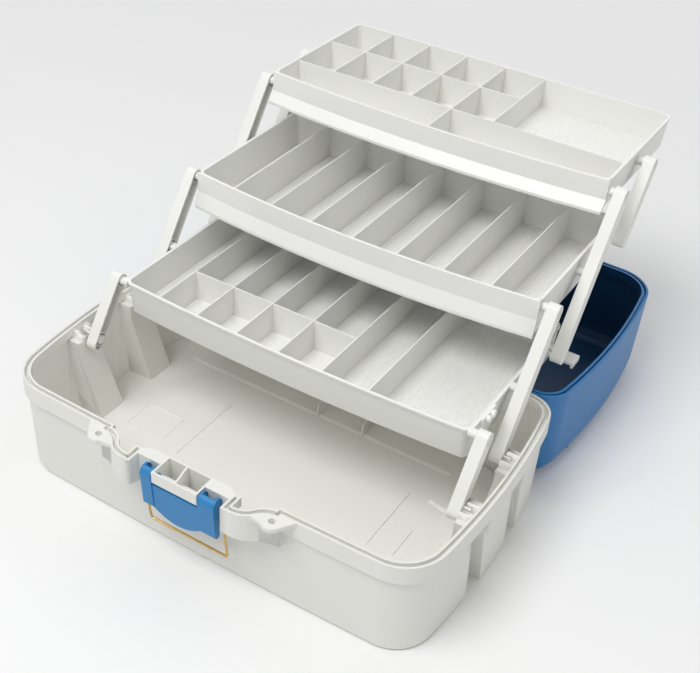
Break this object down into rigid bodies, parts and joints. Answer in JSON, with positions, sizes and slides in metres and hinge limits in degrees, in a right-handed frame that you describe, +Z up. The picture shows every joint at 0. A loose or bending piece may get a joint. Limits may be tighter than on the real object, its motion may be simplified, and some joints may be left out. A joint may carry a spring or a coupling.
{
  "type": "fishing tackle box",
  "caption": "Portable tackle box with a hinged lid, a front draw latch and stacked compartment trays that fan out on parallel swing arms.",
  "frame": {"origin": "centre of the base's flat underside", "axes": "+X along the length to the right-hand end, +Y from the latch side to the hinge side, +Z up; modelled open"},
  "size_m": [0.4648, 0.5858, 0.2852],
  "materials": {
    "grey_plastic": "fine satin moulding",
    "lid_plastic": "fine satin moulding",
    "latch_plastic": "semi-gloss moulding",
    "brass_wire": "drawn wire",
    "pin_steel": "plain"
  },
  "bodies": {
    "base": {"base_tub": "grey_plastic", "lid_hinge_pin_right": "pin_steel", "lid_hinge_pin_left": "pin_steel"},
    "lid": {"lid": "lid_plastic", "handle_pin_right": "pin_steel", "handle_pin_left": "pin_steel"},
    "carry_handle": {"carry_handle": "lid_plastic"},
    "latch_lever": {"latch_lever": "latch_plastic"},
    "wire_bail": {"wire_bail": "brass_wire"},
    "tray_lower": {"tray_lower": "grey_plastic"},
    "tray_middle": {"tray_middle": "grey_plastic"},
    "tray_upper": {"tray_upper": "grey_plastic"},
    "arm_front_lower_right": {"arm_front_lower_right": "grey_plastic"},
    "arm_front_lower_left": {"arm_front_lower_left": "grey_plastic"},
    "arm_rear_lower_right": {"arm_rear_lower_right": "grey_plastic"},
    "arm_rear_lower_left": {"arm_rear_lower_left": "grey_plastic"},
    "arm_middle_right": {"arm_middle_right": "grey_plastic"},
    "arm_middle_left": {"arm_middle_left": "grey_plastic"},
    "arm_upper_right": {"arm_upper_right": "grey_plastic"},
    "arm_upper_left": {"arm_upper_left": "grey_plastic"}
  },
  "joints": [
    {"name": "tray_fold", "type": "hinge", "parent": "base", "child": "arm_rear_lower_right", "pos_m": [0, 0.0467, 0.0978], "axis": [1, 0, 0], "range_deg": [0, 97.3]},
    {"name": "rear_lower_left_pivot", "type": "hinge", "parent": "base", "child": "arm_rear_lower_left", "pos_m": [0, 0.0467, 0.0978], "axis": [1, 0, 0], "range_deg": [0, 97.3]},
    {"name": "front_lower_right_pivot", "type": "hinge", "parent": "base", "child": "arm_front_lower_right", "pos_m": [0, -0.0311, 0.0978], "axis": [1, 0, 0], "range_deg": [0, 97.3]},
    {"name": "front_lower_left_pivot", "type": "hinge", "parent": "base", "child": "arm_front_lower_left", "pos_m": [0, -0.0311, 0.0978], "axis": [1, 0, 0], "range_deg": [0, 97.3]},
    {"name": "tray_lower_pivot", "type": "hinge", "parent": "arm_rear_lower_right", "child": "tray_lower", "pos_m": [0, 0.08306, 0.14973], "axis": [1, 0, 0], "range_deg": [-97.3, 0]},
    {"name": "middle_right_pivot", "type": "hinge", "parent": "tray_lower", "child": "arm_middle_right", "pos_m": [0, 0.16847, 0.14233], "axis": [1, 0, 0], "range_deg": [0, 97.3]},
    {"name": "middle_left_pivot", "type": "hinge", "parent": "tray_lower", "child": "arm_middle_left", "pos_m": [0, 0.16847, 0.14233], "axis": [1, 0, 0], "range_deg": [0, 97.3]},
    {"name": "tray_middle_pivot", "type": "hinge", "parent": "arm_middle_right", "child": "tray_middle", "pos_m": [0, 0.21286, 0.20574], "axis": [1, 0, 0], "range_deg": [-97.3, 0]},
    {"name": "tray_upper_pivot", "type": "hinge", "parent": "arm_middle_right", "child": "tray_upper", "pos_m": [0, 0.25909, 0.27176], "axis": [1, 0, 0], "range_deg": [-97.3, 0]},
    {"name": "upper_right_pivot", "type": "hinge", "parent": "tray_middle", "child": "arm_upper_right", "pos_m": [0, 0.28966, 0.20574], "axis": [1, 0, 0], "range_deg": [0, 97.3]},
    {"name": "upper_left_pivot", "type": "hinge", "parent": "tray_middle", "child": "arm_upper_left", "pos_m": [0, 0.28966, 0.20574], "axis": [1, 0, 0], "range_deg": [0, 97.3]},
    {"name": "lid_hinge", "type": "hinge", "parent": "base", "child": "lid", "pos_m": [0, 0.1345, 0.1085], "axis": [1, 0, 0], "range_deg": [0, 28]},
    {"name": "handle_pivot", "type": "hinge", "parent": "lid", "child": "carry_handle", "pos_m": [0, 0.2867, 0.003], "axis": [1, 0, 0], "range_deg": [0, 95]},
    {"name": "latch_pivot", "type": "hinge", "parent": "base", "child": "latch_lever", "pos_m": [0, -0.1524, 0.1013], "axis": [1, 0, 0], "range_deg": [-65, 0]},
    {"name": "bail_pivot", "type": "hinge", "parent": "latch_lever", "child": "wire_bail", "pos_m": [0, -0.1505, 0.082], "axis": [1, 0, 0], "range_deg": [-172, 0]}
  ],
  "couplings": [
    {"joint": "rear_lower_left_pivot", "follows": "tray_fold", "ratio": 1},
    {"joint": "front_lower_right_pivot", "follows": "tray_fold", "ratio": 1},
    {"joint": "front_lower_left_pivot", "follows": "tray_fold", "ratio": 1},
    {"joint": "tray_lower_pivot", "follows": "tray_fold", "ratio": -1},
    {"joint": "middle_right_pivot", "follows": "tray_fold", "ratio": 1},
    {"joint": "middle_left_pivot", "follows": "tray_fold", "ratio": 1},
    {"joint": "tray_middle_pivot", "follows": "tray_fold", "ratio": -1},
    {"joint": "tray_upper_pivot", "follows": "tray_fold", "ratio": -1},
    {"joint": "upper_right_pivot", "follows": "tray_fold", "ratio": 1},
    {"joint": "upper_left_pivot", "follows": "tray_fold", "ratio": 1}
  ]
}
